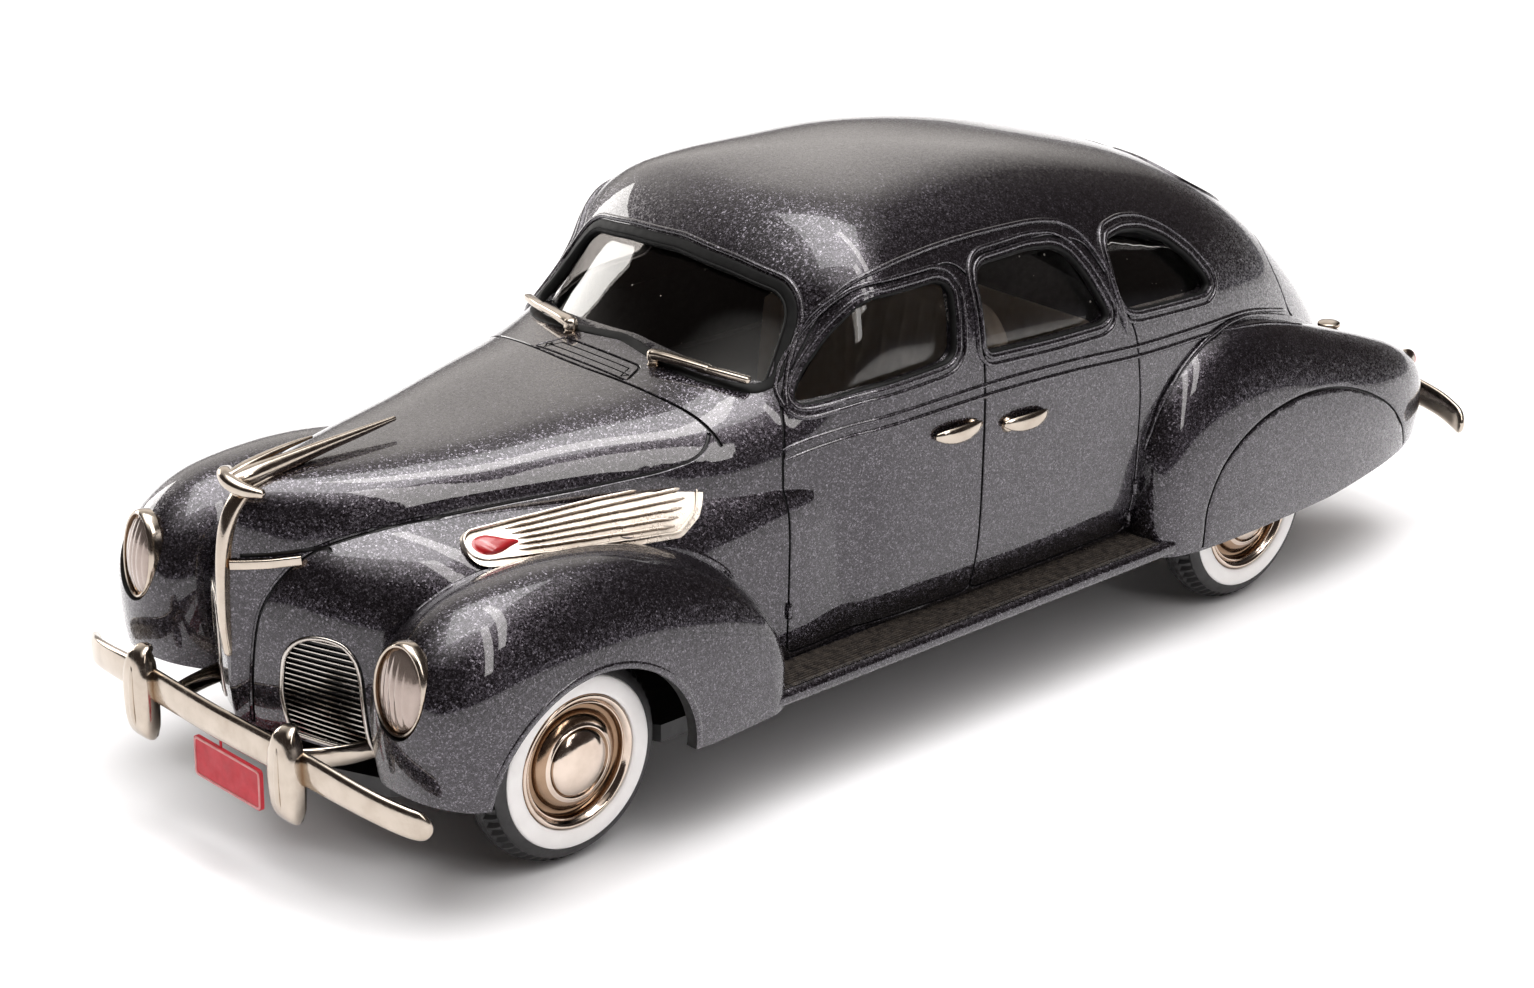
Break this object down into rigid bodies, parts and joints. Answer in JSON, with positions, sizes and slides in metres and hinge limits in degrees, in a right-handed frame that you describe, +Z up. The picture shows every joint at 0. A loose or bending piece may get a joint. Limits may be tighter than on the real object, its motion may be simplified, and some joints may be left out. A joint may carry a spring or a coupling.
{
  "type": "collector's model car",
  "caption": "Streamlined pre-war four-door saloon as a 1:43 diecast collector's model: grey metallic casting, bright trim, white-wall tyres, rolling axles.",
  "frame": {"origin": "on the ground under the middle of the car's bounding box", "axes": "+Y towards the tail (the front faces -Y), +X the car's left side, +Z up"},
  "size_m": [0.0434, 0.1242, 0.0423],
  "materials": {
    "paint": "gloss",
    "base_black": "satin",
    "steel": "satin",
    "chrome": "polished",
    "rubber": "matte",
    "white_rubber": "satin",
    "glazing": "gloss",
    "lamp_glass": "gloss",
    "red_lens": "gloss",
    "red_enamel": "gloss",
    "plate_red": "satin",
    "trim_brown": "satin",
    "seat_cream": "satin",
    "wheel_black": "gloss"
  },
  "bodies": {
    "body": {"body_shell": "paint", "base_plate": "base_black", "base_screws": "steel", "interior_tub": "trim_brown", "front_seat": "seat_cream", "rear_seat": "seat_cream", "dashboard": "trim_brown", "steering_column": "trim_brown", "steering_wheel": "wheel_black", "windscreen": "glazing", "side_glazing_left": "glazing", "side_glazing_right": "glazing", "rear_window": "glazing", "front_bumper": "chrome", "front_bumper_irons": "chrome", "front_overriders": "chrome", "front_number_plate": "plate_red", "rear_bumper": "chrome", "rear_bumper_irons": "chrome", "rear_overriders": "chrome", "rear_number_plate": "plate_red", "headlamp_bowl_left": "chrome", "headlamp_bowl_right": "chrome", "headlamp_lens_left": "lamp_glass", "headlamp_lens_right": "lamp_glass", "headlamp_rim_left": "chrome", "headlamp_rim_right": "chrome", "grille_left": "chrome", "grille_right": "chrome", "prow_strip": "chrome", "nose_bars": "chrome", "bonnet_ornament": "chrome", "bonnet_trim_left": "chrome", "bonnet_trim_right": "chrome", "trim_badge_left": "red_enamel", "trim_badge_right": "red_enamel", "wiper_left": "chrome", "wiper_right": "chrome", "door_handles_left": "chrome", "door_handles_right": "chrome", "tail_lamp_left": "red_lens", "tail_lamp_right": "red_lens", "fuel_cap": "chrome", "boot_handle": "chrome"},
    "front_axle_set": {"front_axle": "steel", "tyre_front_left": "rubber", "tyre_front_right": "rubber", "whitewall_front_left": "white_rubber", "whitewall_front_right": "white_rubber", "wheel_disc_front_left": "chrome", "wheel_disc_front_right": "chrome"},
    "rear_axle_set": {"rear_axle": "steel", "tyre_rear_left": "rubber", "tyre_rear_right": "rubber", "whitewall_rear_left": "white_rubber", "whitewall_rear_right": "white_rubber", "wheel_disc_rear_left": "chrome", "wheel_disc_rear_right": "chrome"}
  },
  "joints": [
    {"name": "front_axle_roll", "type": "hinge", "parent": "body", "child": "front_axle_set", "pos_m": [0, -0.042, 0.0081], "axis": [1, 0, 0], "continuous": true},
    {"name": "rear_axle_roll", "type": "hinge", "parent": "body", "child": "rear_axle_set", "pos_m": [0, 0.0318, 0.0081], "axis": [1, 0, 0], "continuous": true}
  ]
}
